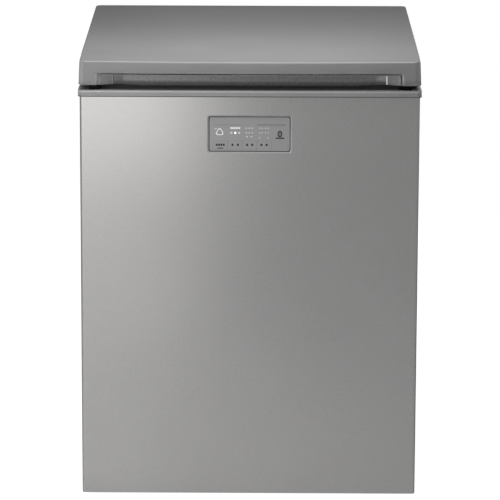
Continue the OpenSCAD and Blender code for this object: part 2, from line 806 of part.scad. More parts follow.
// Bushing where the power cord enters
module cord_grommet() {
    color("black") translate([grommet_x, cover_y0 - 3, grommet_z]) difference() {
        union() {
            rod_y(7.8, 14);
            rod_y(10, 3);
            translate([0, 4, 0]) rod_y(11, 4);
        }
        translate([0, -1, 0]) rod_y(cord_r, 16);
    }
}

// Pad of one levelling foot
module foot_pad(s) {
    color("dimgray") translate([s * foot_x, foot_cy, foot_up]) difference() {
        cylinder(r = foot_r, h = foot_h);
        translate([0, 0, foot_h - 4]) cylinder(r = stud_r + 2 + run_gap, h = 5);
    }
}

// Stud of one levelling foot, turned with its hexagon
module foot_stud(s) {
    color("silver") translate([s * foot_x, foot_cy, foot_up]) {
        translate([0, 0, foot_h - 4 + part_gap]) cylinder(r = stud_r + 2, h = 4);
        translate([0, 0, foot_h - 1]) cylinder(r = stud_r, h = 36);
    }
}

// Channels and axles that carry the rear rollers
module roller_brackets() {
    half = roller_w / 2 + 2;
    color("silver") for (s = [-1, 1]) translate([s * foot_x, roller_cy, roller_r]) {
        difference() {
            for (x = [-1, 1])
                block([x > 0 ? half : -half - 2, -roller_r, pan_top - roller_r],
                    [x > 0 ? half + 2 : -half, roller_r, 10]);
            translate([-half - 3, 0, 0]) rod_x(axle_r, 2 * half + 6);
        }
        for (x = [-1, 1])
            translate([x > 0 ? half + 2 : -half - 10, -roller_r, pan_top - roller_r])
                cube([8, 2 * roller_r, 1.5]);
        translate([-half - 4, 0, 0]) rod_x(axle_r, 2 * half + 8);
    }
}

module roller(s) {
    color("black") translate([s * foot_x - roller_w / 2, roller_cy, roller_r]) difference() {
        rod_x(roller_r, roller_w);
        translate([-1, 0, 0]) rod_x(axle_r + run_gap, roller_w + 2);
        for (x = [-1, roller_w - 2])
            translate([x, 0, 0]) difference() {
                rod_x(roller_r - 4, 3);
                rod_x(axle_r + 4, 3);
            }
    }
}

// Outer shell of the lid, with the handle recess across its front
module lid_outer() {
    color("darkgray") difference() {
        lid_form(0, lid_z);
        difference() {
            lid_form(lid_t, lid_z - 1);
            block([-lid_w, lid_y0 - lid_bow - 1, lid_z - 2],
                [lid_w, recess_y + lid_t, lid_z + recess_h + lid_t]);
        }
        translate([0, 0, lid_z - 1]) linear_extrude(recess_h + 1) recess_plan(0);
    }
}

// Glossy insert that lines the recess's back, ends and ceiling
module handle_insert() {
    color("slategray") intersection() {
        difference() {
            translate([0, 0, lid_z]) linear_extrude(recess_h) recess_plan(0);
            translate([0, 0, lid_z - 1]) linear_extrude(recess_h - insert_t + 1)
                recess_plan(insert_t);
        }
        translate([0, 0, lid_z]) linear_extrude(recess_h) polygon(lid_outline(1));
    }
}

// White inner liner of the lid: a plate with an edge turned up inside the shell
module lid_liner() {
    x = lid_x - liner_in;
    y0 = liner_y0;
    y1 = lid_y1 - liner_in;
    color("white") translate([0, (y0 + y1) / 2, liner_z]) difference() {
        linear_extrude(liner_drop + 6) rrect(2 * x, y1 - y0, lid_r);
        translate([0, 0, liner_t]) linear_extrude(liner_drop + 6)
            rrect(2 * (x - liner_t), y1 - y0 - 2 * liner_t, lid_r - liner_t);
    }
}

// Foam between the lid's shell and liner
module lid_foam() {
    y0 = liner_y0 + liner_t;
    y1 = lid_y1 - liner_in - liner_t;
    z1 = liner_z + liner_drop + 6;
    color("khaki") union() {
        translate([0, (y0 + y1) / 2, liner_z + liner_t]) linear_extrude(z1 - liner_z)
            rrect(2 * (lid_x - liner_in - liner_t), y1 - y0, lid_r - liner_t);
        intersection() {
            lid_form(lid_t, z1);
            block([-lid_w, liner_y0 + tiny, z1], [lid_w, lid_y1, 2000]);
        }
    }
}

// Magnetic gasket under the liner's edge
module lid_gasket() {
    x = lid_x - gasket_in;
    y0 = liner_y0 + 1;
    y1 = lid_y1 - gasket_in - 3;
    z0 = deck_z + part_gap;
    color("dimgray") translate([0, (y0 + y1) / 2, z0]) difference() {
        union() {
            linear_extrude(3) rrect(2 * x - 4, y1 - y0 - 4, lid_r);
            translate([0, 0, 3]) linear_extrude(liner_z - z0 - 3) rrect(2 * x, y1 - y0, lid_r);
        }
        translate([0, 0, -1]) linear_extrude(20)
            rrect(2 * (x - gasket_w), y1 - y0 - 2 * gasket_w, lid_r);
    }
}

// Brackets on the back panel whose ears carry the hinge pins
module hinge_brackets() {
    color("silver") for (s = [-1, 1]) translate([s * hinge_x, 0, 0]) difference() {
        union() {
            block([-ear_x - plate_t, back_y, band_z - 92],
                [ear_x + plate_t, back_y + plate_t, band_z - 1]);
            for (x = [-1, 1])
                translate([x > 0 ? ear_x : -ear_x - plate_t, 0, 0]) {
                    block([0, back_y, band_z - 70],
                        [plate_t, pivot_y + pin_r + 3, band_z - 1]);
                    block([0, frame_y1 + 0.5, band_z - 30],
                        [plate_t, pivot_y + pin_r + 3, pivot_z]);
                    translate([0, pivot_y, pivot_z]) rod_x(pin_r + 3, plate_t);
                }
        }
        translate([-ear_x - plate_t - 1, pivot_y, pivot_z])
            rod_x(pin_r, 2 * (ear_x + plate_t) + 2);
        for (x = [-14, 14])
            translate([x, back_y - 1, band_z - 80]) rod_y(2.6, plate_t + 2);
    }
}

// Leaves on the lid's rear face, each with a knuckle round its pin
module hinge_leaves() {
    color("gainsboro") for (s = [-1, 1]) translate([s * hinge_x, 0, 0]) difference() {
        union() {
            block([-leaf_w / 2, lid_y1, pivot_z], [leaf_w / 2, lid_y1 + plate_t, lid_z + 52]);
            translate([-leaf_w / 2, pivot_y, pivot_z]) rod_x(knuckle_r, leaf_w);
        }
        translate([-leaf_w / 2 - 1, pivot_y, pivot_z]) rod_x(pin_r + run_gap, leaf_w + 2);
        block([-leaf_w / 4, lid_y1 - 1, pivot_z - 10], [leaf_w / 4, pivot_y + 10, pivot_z + 8.5]);
    }
}

// Pins with flat heads, fixed in the brackets' ears
module hinge_pins() {
    color("silver") for (s = [-1, 1])
        translate([s * hinge_x - ear_x - plate_t - 2, pivot_y, pivot_z]) {
            rod_x(pin_r, 2 * (ear_x + plate_t) + 4);
            translate([-2, 0, 0]) rod_x(pin_r + 2.5, 2);
            translate([2 * (ear_x + plate_t) + 4, 0, 0]) rod_x(pin_r + 2.5, 2);
        }
}

// Torsion springs wound round the pins in the middle of the knuckles
module hinge_springs() {
    wire = 1.2;
    r = pin_r + wire + 1;
    curls = 6;
    pitch = 3.1;
    steps = 8;
    color("dimgray") for (s = [-1, 1]) {
        path = concat(
            [[-curls * pitch / 2, back_y + plate_t + wire + part_gap, pivot_z - 45],
                [-curls * pitch / 2, pivot_y - r, pivot_z - 6]],
            [for (k = [0:curls * steps]) let (a = 180 - 360 * k / steps)
                [pitch * (k / steps - curls / 2), pivot_y + r * cos(a), pivot_z + r * sin(a)]]);
        translate([s * hinge_x, 0, 0]) tube(path, wire, up = [1, 0, 0]);
    }
    echo(least_gap_between_curls = pitch - 2 * wire);
}

// Middle of one container's cell in the tub
function cell(i) = [(i % 2 == 0 ? -1 : 1) * cell_w / 2, tub_y + (i < 2 ? -1 : 1) * cell_d / 2];

// Container body with a rim and two studs for its bail
module container(i) {
    color("whitesmoke") translate([cell(i)[0], cell(i)[1], box_z]) {
        difference() {
            union() {
                linear_extrude(box_h) rrect(box_w, box_d, box_r);
                translate([0, 0, box_h - 3]) linear_extrude(3)
                    rrect(box_w + 2, box_d + 2, box_r + 1);
            }
            translate([0, 0, box_t]) linear_extrude(box_h)
                rrect(box_w - 2 * box_t, box_d - 2 * box_t, box_r - box_t);
        }
        for (x = [-1, 1]) translate([0, 0, bail_z - box_z]) {
            translate([x > 0 ? box_w / 2 - 0.5 : -box_w / 2 - 2, 0, 0]) rod_x(7, 2.5);
            translate([x > 0 ? box_w / 2 : -box_w / 2 - 8.5, 0, 0]) rod_x(4, 8.5);
        }
    }
}

// Push-on lid with a raised middle and a vent
module container_lid(i) {
    color("steelblue") translate([cell(i)[0], cell(i)[1], box_top]) {
        difference() {
            union() {
                linear_extrude(3) rrect(box_w + 2, box_d + 2, box_r + 1);
                linear_extrude(5) rrect(box_w - 40, box_d - 40, box_r);
                translate([0, 0, -6]) linear_extrude(6)
                    rrect(box_w - 2 * box_t - 2 * part_gap, box_d - 2 * box_t - 2 * part_gap,
                        box_r - box_t);
            }
            translate([0, 0, -7]) linear_extrude(7)
                rrect(box_w - 4 * box_t, box_d - 4 * box_t, box_r - 2 * box_t);
        }
        translate([0, 0, 5 - tiny]) cylinder(r = 12, h = 2.5);
    }
}

// Bail handle: eyes on the studs, two arms, bends and a grip
module bail(i) {
    reach = bail_reach;
    corner = 24;
    color("gainsboro") translate([cell(i)[0], cell(i)[1], bail_z]) {
        for (x = [-1, 1]) {
            difference() {
                union() {
                    translate([x * bail_x - 2, 0, 0]) rod_x(eye_r, 4);
                    translate([x * bail_x, -reach + corner, 0]) rod_y(bail_r, reach - corner);
                }
                translate([x * bail_x - 5, 0, 0]) rod_x(4 + run_gap, 10);
            }
            translate([x * (bail_x - corner), -reach + corner, 0])
                rotate([0, 0, x > 0 ? -90 : 180]) rotate_extrude(angle = 90)
                    translate([corner, 0]) circle(bail_r);
        }
        translate([-bail_x + corner, -reach, 0]) rod_x(bail_r, 2 * (bail_x - corner));
        translate([-45, -reach, 0]) rod_x(bail_r + 1, 90);
    }
}

front_panel();
side_panels();
back_panel();
base_pan();
machine_roof();
top_frame();
inner_tub();
insulation_foam();
evaporator_coil();
tub_heater();
temperature_sensor();
compressor();
compressor_base();
compressor_cover();
compressor_grommets();
fan_shroud();
fan_motor();
fan_blade();
condenser();
refrigerant_pipes();
control_box();
circuit_boards();
rear_cover();
cabinet_screws();
cord_grommet();
foot_pad(-1);  // foot_pad_left
foot_pad(1);  // foot_pad_right
foot_stud(-1);  // foot_stud_left
foot_stud(1);  // foot_stud_right
roller_brackets();
roller(-1);  // roller_left
roller(1);  // roller_right
panel_bezel();
panel_overlay();
panel_housing();
key(0);  // key_1
key(1);  // key_2
key(2);  // key_3
key(3);  // key_4
lid_outer();
lid_foam();
lid_liner();
lid_gasket();
handle_insert();
hinge_brackets();
hinge_leaves();
hinge_pins();
hinge_springs();
container(0);  // container_1
container(1);  // container_2
container(2);  // container_3
container(3);  // container_4
container_lid(0);  // container_lid_1
container_lid(1);  // container_lid_2
container_lid(2);  // container_lid_3
container_lid(3);  // container_lid_4
bail(0);  // bail_1
bail(1);  // bail_2
bail(2);  // bail_3
bail(3);  // bail_4
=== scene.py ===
import math
import bmesh
import bpy
from mathutils import Matrix, Vector


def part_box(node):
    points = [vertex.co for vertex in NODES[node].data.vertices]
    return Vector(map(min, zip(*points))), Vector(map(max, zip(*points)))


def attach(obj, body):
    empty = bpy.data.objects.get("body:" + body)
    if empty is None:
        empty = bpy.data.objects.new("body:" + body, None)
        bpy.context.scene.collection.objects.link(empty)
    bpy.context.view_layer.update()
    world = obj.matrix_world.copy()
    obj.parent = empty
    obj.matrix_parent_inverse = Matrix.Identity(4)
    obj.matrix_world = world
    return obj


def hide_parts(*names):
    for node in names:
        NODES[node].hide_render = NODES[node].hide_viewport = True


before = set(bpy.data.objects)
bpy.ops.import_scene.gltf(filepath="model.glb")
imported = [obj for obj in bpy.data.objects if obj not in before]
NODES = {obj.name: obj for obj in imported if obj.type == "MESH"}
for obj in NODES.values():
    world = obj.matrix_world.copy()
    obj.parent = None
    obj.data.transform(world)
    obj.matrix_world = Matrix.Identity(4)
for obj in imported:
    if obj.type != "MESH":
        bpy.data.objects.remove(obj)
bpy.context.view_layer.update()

SCENE = bpy.context.scene
SCENE.view_settings.view_transform = "Standard"
MM = 0.001
ROOM_COLOR = (0.96, 0.98, 1.0, 1.0)
ROOM_STRENGTH = 0.25


# ---------------------------------------------------------------- camera

def make_camera():
    """The photograph's view: from above the lid, tilted down to the middle of the object."""
    frame_px = 500.0
    focal_px = 3039.3
    right_px, down_px = 18.8, 25.0
    place = (0.0167, -6.1, 1.6976)
    pitch, yaw, roll = (math.radians(a) for a in (11.173, 0.513, 0.125))
    data = bpy.data.cameras.new("camera")
    data.lens = 100.0
    data.sensor_width = data.lens * frame_px / focal_px
    data.shift_x = right_px / frame_px
    data.shift_y = -down_px / frame_px
    data.clip_end = 200.0
    camera = bpy.data.objects.new("camera", data)
    turn = (Matrix.Rotation(yaw, 4, "Z") @ Matrix.Rotation(math.pi / 2 - pitch, 4, "X")
            @ Matrix.Rotation(roll, 4, "Z"))
    camera.matrix_world = Matrix.Translation(place) @ turn
    SCENE.collection.objects.link(camera)
    SCENE.camera = camera


# ---------------------------------------------------------------- studio

def shows_backdrop(tree):
    """1 for camera, glossy and transmission rays, which see the white backdrop itself."""
    path = tree.nodes.new("ShaderNodeLightPath")
    total = path.outputs["Is Camera Ray"]
    for name in ("Is Glossy Ray", "Is Transmission Ray"):
        most = tree.nodes.new("ShaderNodeMath")
        most.operation = "MAXIMUM"
        tree.links.new(total, most.inputs[0])
        tree.links.new(path.outputs[name], most.inputs[1])
        total = most.outputs[0]
    return total


def make_world():
    """Even room light on the object, and plain white behind it."""
    world = bpy.data.worlds.new("studio")
    SCENE.world = world
    world.use_nodes = True
    tree = world.node_tree
    tree.nodes.clear()
    out = tree.nodes.new("ShaderNodeOutputWorld")
    mix = tree.nodes.new("ShaderNodeMixShader")
    room = tree.nodes.new("ShaderNodeBackground")
    room.inputs["Color"].default_value = ROOM_COLOR
    room.inputs["Strength"].default_value = ROOM_STRENGTH
    white = tree.nodes.new("ShaderNodeBackground")
    white.inputs["Color"].default_value = (1.0, 1.0, 1.0, 1.0)
    white.inputs["Strength"].default_value = 1.0
    tree.links.new(shows_backdrop(tree), mix.inputs[0])
    tree.links.new(room.outputs[0], mix.inputs[1])
    tree.links.new(white.outputs[0], mix.inputs[2])
    tree.links.new(mix.outputs[0], out.inputs["Surface"])


def make_floor():
    """A pale floor that renders white and keeps the object's shadow."""
    half = 30.0
    glow_strength = 1.36
    glow_share = 0.7
    mesh = bpy.data.meshes.new("floor")
    mesh.from_pydata([(-half, -half, 0), (half, -half, 0), (half, half, 0), (-half, half, 0)],
                     [], [(0, 1, 2, 3)])
    floor = bpy.data.objects.new("floor", mesh)
    SCENE.collection.objects.link(floor)
    material = bpy.data.materials.new("floor")
    material.use_nodes = True
    tree = material.node_tree
    tree.nodes.clear()
    out = tree.nodes.new("ShaderNodeOutputMaterial")
    lit = tree.nodes.new("ShaderNodeBsdfDiffuse")
    lit.inputs["Color"].default_value = (0.8, 0.8, 0.8, 1.0)
    glow = tree.nodes.new("ShaderNodeEmission")
    glow.inputs["Strength"].default_value = glow_strength
    share = tree.nodes.new("ShaderNodeMath")
    share.operation = "MULTIPLY"
    share.inputs[1].default_value = glow_share
    mix = tree.nodes.new("ShaderNodeMixShader")
    tree.links.new(shows_backdrop(tree), share.inputs[0])
    tree.links.new(share.outputs[0], mix.inputs[0])
    tree.links.new(lit.outputs[0], mix.inputs[1])
    tree.links.new(glow.outputs[0], mix.inputs[2])
    tree.links.new(mix.outputs[0], out.inputs["Surface"])
    mesh.materials.append(material)


def make_softbox(name, place, aim, size, power, fan=180.0):
    """A rectangular lamp at place that faces aim, and whose light fans out over an angle."""
    data = bpy.data.lights.new(name, "AREA")
    data.shape = "RECTANGLE"
    data.size, data.size_y = size
    data.energy = power
    data.spread = math.radians(fan)
    lamp = bpy.data.objects.new(name, data)
    lamp.location = place
    lamp.rotation_euler = (Vector(aim) - Vector(place)).to_track_quat("-Z", "Y").to_euler()
    lamp.visible_camera = False
    SCENE.collection.objects.link(lamp)


# Name, place, aim, size and power of each lamp. The lamp on the left part of the floor has a narrow fan,
# so that the front doesn't reflect it.
LAMPS = (
    ("overhead", (0.0, -0.4, 1.35), (0, -0.15, 0.9), (0.9, 0.15), 6.9),
    ("tall_left", (-0.87, -1.3, 0.92), (-0.87, -0.3, 0.92), (1.5, 0.85), 13.2),
    ("low_left", (-0.87, -1.3, 0.28), (-0.87, -0.3, 0.28), (1.5, 0.4), 2.1),
    ("floor_left", (-1.0, -1.4, 0.8), (-0.4, -1.0, 0.0), (1.0, 0.8), 14, 91.7),
    ("floor_near", (-0.42, -0.42, 0.3), (-0.42, -0.9, 0.02), (0.5, 0.15), 2.2),
    ("rear", (0.6, 2.6, 0.9), (0, 0.2, 0.5), (2.0, 1.2), 14),
    ("side_left", (-3.0, 0.6, 0.9), (0, 0, 0.5), (1.6, 1.2), 10),
    ("side_right", (3.0, 0.2, 0.9), (0, 0, 0.5), (1.6, 1.2), 10),
)


# ---------------------------------------------------------------- materials

def noise(tree, scale, stretch=(1.0, 1.0, 1.0)):
    """Noise in the object's own coordinates, stretched along its axes."""
    detail = 3.0
    place = tree.nodes.new("ShaderNodeTexCoord")
    mapping = tree.nodes.new("ShaderNodeMapping")
    mapping.inputs["Scale"].default_value = stretch
    texture = tree.nodes.new("ShaderNodeTexNoise")
    texture.inputs["Scale"].default_value = scale
    texture.inputs["Detail"].default_value = detail
    tree.links.new(place.outputs["Object"], mapping.inputs["Vector"])
    tree.links.new(mapping.outputs[0], texture.inputs["Vector"])
    return texture.outputs["Fac"]


def spread(tree, fac, low, high):
    """Maps noise around its middle onto a range of values."""
    noise_low, noise_high = 0.3, 0.7
    ramp = tree.nodes.new("ShaderNodeMapRange")
    ramp.inputs["From Min"].default_value = noise_low
    ramp.inputs["From Max"].default_value = noise_high
    ramp.inputs["To Min"].default_value = low
    ramp.inputs["To Max"].default_value = high
    tree.links.new(fac, ramp.inputs["Value"])
    return ramp.outputs[0]


def tint(tree, fac, first, second):
    """A colour between two, by a factor."""
    mix = tree.nodes.new("ShaderNodeMix")
    mix.data_type = "RGBA"
    mix.inputs["A"].default_value = (*first, 1.0)
    mix.inputs["B"].default_value = (*second, 1.0)
    tree.links.new(fac, mix.inputs["Factor"])
    return mix.outputs["Result"]


def bump(tree, shader, fac, height):
    """Relief of a height in metres."""
    strength = 0.5
    node = tree.nodes.new("ShaderNodeBump")
    node.inputs["Strength"].default_value = strength
    node.inputs["Distance"].default_value = height
    tree.links.new(fac, node.inputs["Height"])
    tree.links.new(node.outputs[0], shader.inputs["Normal"])


def surface(name, color, rough, metallic=0.0, vary=0.04, grain=120.0, grain_stretch=(1, 1, 1),
            depth=0.03 * MM, specular=0.5, coat=0.0):
    """A material whose colour and roughness vary a little and whose grain shows as a fine bump."""
    cloud_scale = 6.0
    swing = 0.03
    material = bpy.data.materials.new(name)
    material.use_nodes = True
    tree = material.node_tree
    shader = tree.nodes["Principled BSDF"]
    cloud = noise(tree, cloud_scale)
    fine = noise(tree, grain, grain_stretch)
    darker = tuple(c * (1.0 - vary) for c in color)
    lighter = tuple(min(1.0, c * (1.0 + vary)) for c in color)
    tree.links.new(tint(tree, spread(tree, cloud, 0.0, 1.0), darker, lighter),
                   shader.inputs["Base Color"])
    tree.links.new(spread(tree, fine, rough - swing, rough + swing), shader.inputs["Roughness"])
    shader.inputs["Metallic"].default_value = metallic
    shader.inputs["Specular IOR Level"].default_value = specular
    shader.inputs["Coat Weight"].default_value = coat
    bump(tree, shader, fine, depth)
    return material


def grey(level, warm=0.0):
    """A linear grey, as warm as it is told."""
    return (level * (1 + warm), level, level * (1 - warm))


# Each material by its name.
MATERIALS = {}


def make_materials():
    """Every material of the part, with its colour, roughness, metal and finish."""
    kinds = (
        ("silver front", grey(0.19, 0.012), 0.29, 0.85,
         dict(grain=260, grain_stretch=(1, 1, 30), vary=0.015, depth=0.004 * MM)),
        ("case paint", grey(0.19), 0.6, 0.0, dict(grain=500, depth=0.04 * MM, specular=0.2)),
        ("band plastic", grey(0.15, 0.01), 0.45, 0.0, dict(grain=300, specular=0.25)),
        ("lid shell", grey(0.155, 0.005), 0.6, 0.0, dict(grain=260, specular=0.02)),
        # A lighter, glossier copy of the lid shell: a painted highlight on the lid's rounded front
        # edges.
        ("lid painted edge highlight", grey(0.16, 0.005), 0.35, 0.0, dict(grain=260, specular=0.35)),
        ("recess lining", grey(0.095), 0.28, 0.0, dict(grain=300, depth=0.004 * MM, specular=0.4)),
        ("recess rib", grey(0.36), 0.3, 0.8, dict(grain=300, depth=0.004 * MM)),
        # Near black: painted shade on the front sheet's rounded corners.
        ("corner painted shade", grey(0.05), 0.5, 0.2, dict(grain=300, specular=0.3)),
        # A lighter copy of the band plastic: a painted highlight along the frame's upper edge.
        ("band highlight", grey(0.22, 0.01), 0.4, 0.0, dict(grain=300)),
        # Near black: a painted shadow line under the top frame's lower edge.
        ("band painted shadow", grey(0.04), 0.5, 0.0, dict(grain=300, specular=0.2)),
        ("galvanised", grey(0.5), 0.42, 0.9, dict(grain=30, vary=0.12)),
        ("tub white", (0.66, 0.67, 0.66), 0.4, 0.0,
         dict(grain=260, depth=0.01 * MM, vary=0.01, specular=0.3)),
        # A darker copy of the tub white: painted shade that offsets the overhead lamp's strong light on
        # the liner when the lid is open.
        ("liner white", (0.46, 0.47, 0.46), 0.45, 0.0,
         dict(grain=260, depth=0.01 * MM, vary=0.01, specular=0.3)),
        ("foam", (0.80, 0.70, 0.42), 0.95, 0.0, dict(grain=150, depth=1 * MM, vary=0.1)),
        ("copper", (0.72, 0.36, 0.20), 0.3, 1.0, dict(grain=90, vary=0.15)),
        ("aluminium", grey(0.75), 0.35, 1.0, dict(grain=90)),
        ("black enamel", grey(0.02), 0.35, 0.0, dict(grain=60, vary=0.2, coat=0.4)),
        ("black plastic", grey(0.03), 0.5, 0.0, dict(grain=400, depth=0.06 * MM, vary=0.1)),
        ("rubber", grey(0.03), 0.75, 0.0, dict(grain=200, depth=0.1 * MM, vary=0.15)),
        ("gasket", grey(0.03), 0.7, 0.0, dict(grain=200, vary=0.1, specular=0.1)),
        ("pale plastic", grey(0.70, 0.01), 0.45, 0.0, dict(grain=300, vary=0.02)),
        ("board green", (0.02, 0.17, 0.07), 0.4, 0.0, dict(grain=80, vary=0.2)),
        ("zinc", grey(0.42), 0.4, 1.0, dict(grain=60, vary=0.08)),
        ("spring steel", grey(0.30), 0.35, 1.0, dict(grain=90, vary=0.1)),
        ("panel face", grey(0.165), 0.4, 0.0, dict(grain=400, depth=0.01 * MM, vary=0.01, specular=0.3)),
        ("panel rim", grey(0.17), 0.3, 0.1, dict(grain=300)),
        ("container", (0.76, 0.80, 0.80), 0.38, 0.0, dict(grain=200, vary=0.02)),
        ("container lid", (0.16, 0.27, 0.34), 0.4, 0.0, dict(grain=200, vary=0.05)),
        ("bail", grey(0.62), 0.4, 0.0, dict(grain=200, vary=0.03)),
        ("trim black", grey(0.006), 0.8, 0.0, dict(grain=200, specular=0.02)),
        ("mark pale", grey(0.36), 0.4, 0.0, dict(grain=300, specular=0.2)),
        ("mark white", grey(0.62), 0.4, 0.0, dict(grain=300, specular=0.2)),
        ("mark line", grey(0.09), 0.5, 0.0, dict(grain=300, specular=0.2)),
        ("mark dark", grey(0.012), 0.5, 0.0, dict(grain=300, specular=0.1)),
        ("lamp off", grey(0.36), 0.35, 0.0, dict(grain=300)),
        ("lamp lit", grey(0.95), 0.25, 0.0, dict(grain=300)),
    )
    for name, color, rough, metallic, more in kinds:
        MATERIALS[name] = surface(name, color, rough, metallic, **more)


# The CAD nodes that each material dresses.
NODE_MATERIALS = {
    "silver front": "front_panel",
    "case paint": "side_panels back_panel",
    "band plastic": "top_frame",
    "galvanised": "base_pan machine_roof compressor_base rear_cover",
    "tub white": "inner_tub panel_housing",
    "liner white": "lid_liner",
    "foam": "insulation_foam lid_foam",
    "copper": "evaporator_coil refrigerant_pipes",
    "aluminium": "condenser tub_heater",
    "black enamel": "compressor",
    "black plastic": "compressor_cover temperature_sensor fan_motor fan_shroud"
                     " foot_pad_left foot_pad_right roller_left roller_right",
    "rubber": "compressor_grommets cord_grommet",
    "gasket": "lid_gasket",
    "pale plastic": "fan_blade control_box",
    "board green": "circuit_boards",
    "zinc": "cabinet_screws roller_brackets hinge_brackets hinge_leaves hinge_pins"
            " foot_stud_left foot_stud_right",
    "spring steel": "hinge_springs",
    "panel face": "panel_overlay key_1 key_2 key_3 key_4",
    "panel rim": "panel_bezel",
    "lid shell": "lid_outer",
    "recess lining": "handle_insert",
    "container": "container_1 container_2 container_3 container_4",
    "container lid": "container_lid_1 container_lid_2 container_lid_3 container_lid_4",
    "bail": "bail_1 bail_2 bail_3 bail_4",
}


def dress_nodes():
    """Gives each CAD node its material, and a fine bevel on its edges where it isn't a tube or foam."""
    usual_bevel, fine_bevel = 0.4 * MM, 0.15 * MM
    fine = {"panel_bezel", "panel_overlay", "key_1", "key_2", "key_3", "key_4"}
    plain = {"evaporator_coil", "refrigerant_pipes", "hinge_springs", "insulation_foam",
             "lid_foam", "condenser"}
    for kind, names in NODE_MATERIALS.items():
        for name in names.split():
            node = NODES[name]
            node.data.materials.clear()
            node.data.materials.append(MATERIALS[kind])
            if name not in plain:
                bevel = node.modifiers.new("edges", "BEVEL")
                bevel.width = fine_bevel if name in fine else usual_bevel
                bevel.segments = 2
                bevel.limit_method = "ANGLE"
                bevel.angle_limit = math.radians(40)
                bevel.use_clamp_overlap = True


# ---------------------------------------------------------------- meshes

def join_faces(mesh):
    """Joins a mesh's doubled points and turns all its faces outwards."""
    close = 0.01 * MM
    work = bmesh.new()
    work.from_mesh(mesh)
    bmesh.ops.remove_doubles(work, verts=work.verts, dist=close)
    bmesh.ops.dissolve_degenerate(work, edges=work.edges, dist=close)
    bmesh.ops.recalc_face_normals(work, faces=work.faces)
    work.to_mesh(mesh)
    work.free()


def make_piece(name, points, faces, material, body, replaced=(), joined=True, smooth=35.0):
    """A mesh object of the part that rides on a body."""
    mesh = bpy.data.meshes.new(name)
    mesh.from_pydata(points, [], faces)
    mesh.validate()
    mesh.materials.append(MATERIALS[material])
    mesh.shade_smooth()
    if joined:
        join_faces(mesh)
    mesh.set_sharp_from_angle(angle=math.radians(smooth))
    piece = bpy.data.objects.new(name, mesh)
    SCENE.collection.objects.link(piece)
    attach(piece, body)
    if replaced:
        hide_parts(*replaced)
    return piece


def grid_faces(rows, columns, closed=False, looped=False):
    """Quads of a grid of points: closed joins each row's ends, looped its last row to its first."""
    faces = []
    for r in range(rows if looped else rows - 1):
        this, after = r * columns, (r + 1) % rows * columns
        for c in range(columns if closed else columns - 1):
            beside = (c + 1) % columns
            faces.append((this + c, this + beside, after + beside, after + c))
    return faces


def end_faces(rows, columns):
    """The two faces that close a grid at its first and last row."""
    last = (rows - 1) * columns
    return [tuple(range(columns)), tuple(last + c for c in reversed(range(columns)))]


def make_solid(name, loops, material, body, looped=False):
    """A solid through a row of loops of points: a bar with two ends, or a ring when it is looped."""
    rows, columns = len(loops), len(loops[0])
    faces = grid_faces(rows, columns, closed=True, looped=looped)
    if not looped:
        faces += end_faces(rows, columns)
    points = [point for loop in loops for point in loop]
    make_piece(name, points, faces, material, body)


def thicken(piece, thickness, offset=-1.0):
    """Gives a sheet its wall."""
    solid = piece.modifiers.new("wall", "SOLIDIFY")
    solid.thickness = thickness
    solid.offset = offset


def rounded(half_u, half_v, radius, steps=6):
    """A rectangle with round corners about the origin."""
    points = []
    for corner, (su, sv) in enumerate(((1, 1), (-1, 1), (-1, -1), (1, -1))):
        for k in range(steps + 1):
            a = math.radians(90 * (corner + k / steps))
            points.append((su * (half_u - radius) + radius * math.cos(a),
                           sv * (half_v - radius) + radius * math.sin(a)))
    return points


def arc(center_u, center_v, radius, first, last, count):
    """Points of an arc in a plane, with angles measured from its first axis towards its second."""
    turns = [math.radians(first + (last - first) * k / (count - 1)) for k in range(count)]
    return [(center_u + radius * math.cos(a), center_v + radius * math.sin(a)) for a in turns]


# ---------------------------------------------------------------- lid

class Lid:
    """Sizes of the lid. The skin takes the CAD shell's lower edge a little further down."""
    low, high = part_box("lid_outer")
    half = high.x
    bottom = low.z - 2.4 * MM
    rear = high.y
    wall = 1.6 * MM
    bow = 8 * MM
    corner_y = low.y + bow
    corner_r = 12 * MM
    edge_r = 3.6 * MM
    lip_up = 22.6 * MM
    lip_r = 1.6 * MM
    front_up = 46.8 * MM
    crease_up = 55.4 * MM
    crease_back = 90 * MM
    crease_soft = 5 * MM
    side_angle = 2.6
    lean = math.tan(math.radians(side_angle)) * (high.z - low.z)
    recess_outer = half - 35 * MM
    recess_ramp = (31 * MM, 15 * MM)
    recess_step = (20 * MM, 20 * MM)
    ramp_end = recess_outer - recess_ramp[0]


def lid_top(y):
    """Height of the lid's upper face, with a soft crease between its two slopes."""
    crease_y = Lid.corner_y + Lid.crease_back
    crease_z = Lid.bottom + Lid.crease_up
    steep = (Lid.crease_up - Lid.front_up) / Lid.crease_back
    gentle = (Lid.high.z - crease_z) / (Lid.rear - crease_y)
    reach = y - crease_y
    soft = math.sqrt(reach ** 2 + Lid.crease_soft ** 2)
    return crease_z + (steep + gentle) / 2 * reach - (steep - gentle) / 2 * soft


def drawn_back(x, radius, half=Lid.half):
    """How far a round side edge or corner has drawn back at x."""
    past = abs(x) - (half - radius)
    if past <= 0:
        return 0.0
    return radius - math.sqrt(max(0.0, radius ** 2 - past ** 2))


def lid_front(x):
    """The front face in plan: bowed, with round corners."""
    straight = Lid.half - Lid.corner_r
    bow = Lid.bow * max(0.0, 1 - (x / straight) ** 2)
    return Lid.corner_y - bow + drawn_back(x, Lid.corner_r)


def recess_depth(x):
    """Depth of the handle recess behind the lid's front corners, with its bends rounded."""
    outer = Lid.recess_outer
    ramp_x, ramp_y = Lid.recess_ramp
    step_x, step_y = Lid.recess_step
    flare = 0.9

    def sharp(u):
        if u > outer:
            return (outer - u) * flare
        if u > outer - ramp_x:
            return ramp_y * (outer - u) / ramp_x
        if u > outer - ramp_x - step_x:
            return ramp_y + (step_y - ramp_y) * (outer - ramp_x - u) / step_x
        return step_y

    count, window = 9, 5 * MM
    samples = [sharp(abs(x) + window * (k / (count - 1) - 0.5)) for k in range(count)]
    return sum(samples) / count


